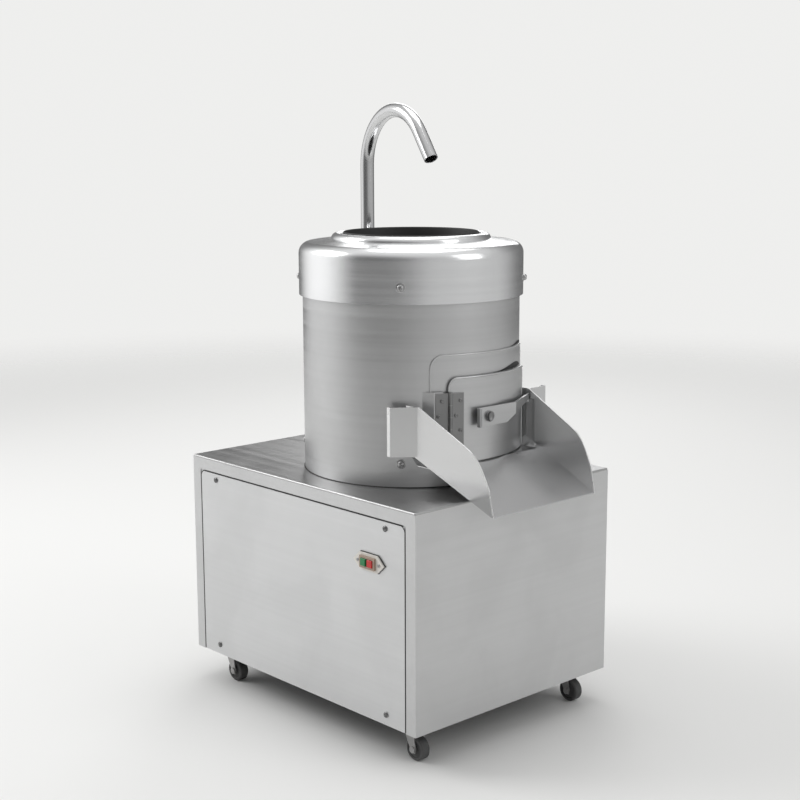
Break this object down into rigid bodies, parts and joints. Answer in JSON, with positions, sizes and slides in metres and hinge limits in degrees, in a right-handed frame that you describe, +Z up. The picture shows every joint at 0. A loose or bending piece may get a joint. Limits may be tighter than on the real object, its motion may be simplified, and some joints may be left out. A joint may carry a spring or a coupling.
{
  "type": "electric potato peeler",
  "caption": "Floor-standing drum potato peeler on casters: steel cabinet with switch panel, open drum, hinged discharge door, chute and gooseneck water pipe.",
  "frame": {"origin": "on the floor under the middle of the cabinet", "axes": "+Z up; the switch panel faces -Y; the discharge chute points along +X"},
  "size_m": [0.657, 0.516, 1.0665],
  "materials": {
    "cabinet_steel": "satin brushed stainless sheet",
    "barrel_steel": "brushed stainless sheet",
    "polished_steel": "polished stainless",
    "chute_steel": "brushed stainless sheet",
    "hinge_steel": "satin steel",
    "screw_steel": "bright steel",
    "abrasive_grit": "coarse dark abrasive coating",
    "seal_rubber": "black rubber",
    "frame_paint": "dark grey paint",
    "motor_paint": "blue-grey paint",
    "bearing_steel": "ground steel",
    "cast_pulley": "machined cast iron",
    "drain_plastic": "grey plastic pipe",
    "inlet_steel": "stainless tube",
    "gland_plastic": "black nylon",
    "switch_plate_plastic": "off-white plastic",
    "switch_bezel_plastic": "beige-brown plastic",
    "switch_body_plastic": "black plastic",
    "start_green": "green moulded plastic",
    "stop_red": "red moulded plastic",
    "caster_zinc": "zinc-plated steel",
    "caster_rubber": "dark grey rubber"
  },
  "bodies": {
    "root": {"cabinet_shell": "cabinet_steel", "front_panel": "cabinet_steel", "top_plate": "cabinet_steel", "barrel": "barrel_steel", "door_frame": "barrel_steel", "drum_floor": "barrel_steel", "latch_keeper": "barrel_steel", "hinge_block": "barrel_steel", "cap_ring": "polished_steel", "water_pipe": "polished_steel", "discharge_chute": "chute_steel", "hinge_leaf_fixed": "hinge_steel", "hinge_pin": "hinge_steel", "panel_screws": "screw_steel", "barrel_screws": "screw_steel", "cap_screws": "screw_steel", "hinge_screws_fixed": "screw_steel", "switch_screws": "screw_steel", "pipe_fitting": "screw_steel", "abrasive_liner": "abrasive_grit", "shaft_seal": "seal_rubber", "switch_gasket": "seal_rubber", "drive_belt": "seal_rubber", "base_frame": "frame_paint", "motor_mount": "frame_paint", "bearing_housing": "frame_paint", "motor_housing": "motor_paint", "motor_fan_cover": "motor_paint", "motor_terminal_box": "motor_paint", "shaft_bearings": "bearing_steel", "drain_pipe": "drain_plastic", "water_inlet": "inlet_steel", "cable_gland": "gland_plastic", "switch_plate": "switch_plate_plastic", "switch_bezel": "switch_bezel_plastic", "switch_body": "switch_body_plastic", "caster_plates": "caster_zinc"},
    "door": {"discharge_door": "barrel_steel", "door_seal": "seal_rubber", "hinge_leaf_door": "hinge_steel", "hinge_screws_door": "screw_steel", "latch_bolt": "polished_steel"},
    "latch": {"latch_bar": "barrel_steel"},
    "spindle": {"main_shaft": "bearing_steel", "turntable": "cast_pulley", "abrasive_disc": "abrasive_grit", "disc_nut": "screw_steel", "driven_pulley": "cast_pulley"},
    "rotor": {"motor_shaft": "bearing_steel", "motor_pulley": "cast_pulley"},
    "start": {"start_button": "start_green"},
    "stop": {"stop_button": "stop_red"},
    "swivel_1": {"caster_fork_1": "caster_zinc"},
    "wheel_1": {"caster_wheel_1": "caster_rubber"},
    "swivel_2": {"caster_fork_2": "caster_zinc"},
    "wheel_2": {"caster_wheel_2": "caster_rubber"},
    "swivel_3": {"caster_fork_3": "caster_zinc"},
    "wheel_3": {"caster_wheel_3": "caster_rubber"},
    "swivel_4": {"caster_fork_4": "caster_zinc"},
    "wheel_4": {"caster_wheel_4": "caster_rubber"}
  },
  "joints": [
    {"name": "door_swing", "type": "hinge", "parent": "root", "child": "door", "pos_m": [0.21795, -0.07603, 0.541], "axis": [0, 0, -1], "range_deg": [0, 90]},
    {"name": "latch_turn", "type": "hinge", "parent": "door", "child": "latch", "pos_m": [0.238, -0.006, 0.547], "axis": [1, 0, 0], "range_deg": [0, 18]},
    {"name": "disc_spin", "type": "hinge", "parent": "root", "child": "spindle", "pos_m": [0.035, 0.006, 0.3], "axis": [0, 0, 1], "continuous": true},
    {"name": "motor_spin", "type": "hinge", "parent": "root", "child": "rotor", "pos_m": [-0.19, 0.006, 0.18], "axis": [0, 0, 1], "continuous": true},
    {"name": "start_press", "type": "slide", "parent": "root", "child": "start", "axis": [0, 1, 0], "range_m": [0, 0.003], "stiffness_N_per_m": 400},
    {"name": "stop_press", "type": "slide", "parent": "root", "child": "stop", "axis": [0, 1, 0], "range_m": [0, 0.003], "stiffness_N_per_m": 400},
    {"name": "caster_swivel_1", "type": "hinge", "parent": "root", "child": "swivel_1", "pos_m": [-0.247, -0.19, 0.055], "axis": [0, 0, 1], "continuous": true},
    {"name": "caster_roll_1", "type": "hinge", "parent": "swivel_1", "child": "wheel_1", "pos_m": [-0.234, -0.19, 0.02], "axis": [0, 1, 0], "continuous": true},
    {"name": "caster_swivel_2", "type": "hinge", "parent": "root", "child": "swivel_2", "pos_m": [0.247, -0.19, 0.055], "axis": [0, 0, 1], "continuous": true},
    {"name": "caster_roll_2", "type": "hinge", "parent": "swivel_2", "child": "wheel_2", "pos_m": [0.26, -0.19, 0.02], "axis": [0, 1, 0], "continuous": true},
    {"name": "caster_swivel_3", "type": "hinge", "parent": "root", "child": "swivel_3", "pos_m": [-0.247, 0.19, 0.055], "axis": [0, 0, 1], "continuous": true},
    {"name": "caster_roll_3", "type": "hinge", "parent": "swivel_3", "child": "wheel_3", "pos_m": [-0.234, 0.19, 0.02], "axis": [0, 1, 0], "continuous": true},
    {"name": "caster_swivel_4", "type": "hinge", "parent": "root", "child": "swivel_4", "pos_m": [0.247, 0.19, 0.055], "axis": [0, 0, 1], "continuous": true},
    {"name": "caster_roll_4", "type": "hinge", "parent": "swivel_4", "child": "wheel_4", "pos_m": [0.26, 0.19, 0.02], "axis": [0, 1, 0], "continuous": true}
  ],
  "couplings": [
    {"joint": "motor_spin", "follows": "disc_spin", "ratio": 3}
  ]
}
